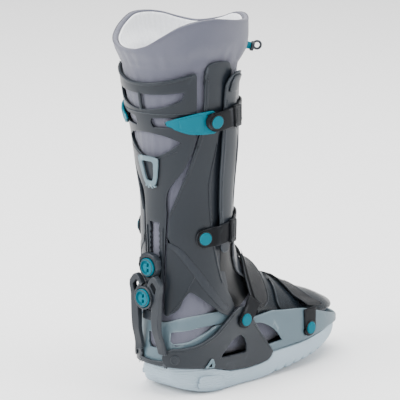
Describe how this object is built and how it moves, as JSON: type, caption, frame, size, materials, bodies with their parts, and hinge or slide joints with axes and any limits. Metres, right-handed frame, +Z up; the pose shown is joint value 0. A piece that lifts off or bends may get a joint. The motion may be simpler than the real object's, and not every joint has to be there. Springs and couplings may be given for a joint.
{
  "type": "medical walking boot",
  "caption": "Tall walking boot: padded liner in hard calf, side, front and foot shells on a rocker sole, with straps, riveted tabs, tension levers and a rear height adjuster.",
  "frame": {"origin": "on the ground under the middle of the boot's bounding box", "axes": "+X forward to the toe, +Y to the wearer's left, +Z up the leg"},
  "size_m": [0.332, 0.149, 0.4355],
  "materials": {
    "shell": "satin dark grey moulded plastic",
    "shell_front": "satin grey moulded plastic",
    "frame": "satin dark grey moulded plastic",
    "foot_shell": "matte pale grey-green moulded plastic",
    "sole": "matte pale blue-grey rubber",
    "teal": "teal moulded plastic",
    "tab": "dark satin strap rubber",
    "strap": "dark coated webbing",
    "guard": "satin grey soft plastic",
    "cover": "glossy blue-grey soft plastic",
    "liner": "soft brushed grey fabric over foam",
    "lining": "white terry",
    "key": "pale grey moulded plastic"
  },
  "bodies": {
    "boot": {"sole": "sole", "foot_shell": "foot_shell", "ankle_frame": "frame", "calf_shell": "shell", "front_shell": "shell_front", "side_shell_right": "shell", "side_shell_left": "shell", "tension_lever_right": "teal", "tension_lever_left": "teal", "tab_calf_right": "tab", "tab_shin_right": "tab", "tab_ankle_right": "tab", "tab_toe_right": "tab", "tab_calf_left": "tab", "tab_shin_left": "tab", "tab_ankle_left": "tab", "tab_toe_left": "tab", "rivet_calf_right": "teal", "rivet_shin_right": "teal", "rivet_ankle_right": "teal", "rivet_toe_right": "teal", "rivet_calf_left": "teal", "rivet_shin_left": "teal", "rivet_ankle_left": "teal", "rivet_toe_left": "teal", "liner": "liner", "lining": "lining", "strap_calf": "strap", "strap_shin": "strap", "strap_instep": "strap", "strap_toe": "strap", "instep_guard": "guard", "forefoot_cover": "cover", "slider_upper": "shell", "yoke": "frame", "pivot_pin_right": "frame", "pivot_pin_left": "frame", "adjuster_key": "key", "valve_stem": "teal", "valve_cap": "key", "sole_latch_right": "key", "sole_latch_left": "key"},
    "knob_upper": {"knob_upper": "teal"},
    "knob_lower": {"knob_lower": "teal"}
  },
  "joints": [
    {"name": "knob_upper_turn", "type": "hinge", "parent": "boot", "child": "knob_upper", "pos_m": [-0.145, 0.00028, 0.15103], "axis": [-1, 0, 0], "range_deg": [0, 90]},
    {"name": "knob_lower_turn", "type": "hinge", "parent": "boot", "child": "knob_lower", "pos_m": [-0.145, 0.00028, 0.11702], "axis": [-1, 0, 0], "range_deg": [0, 90]}
  ]
}
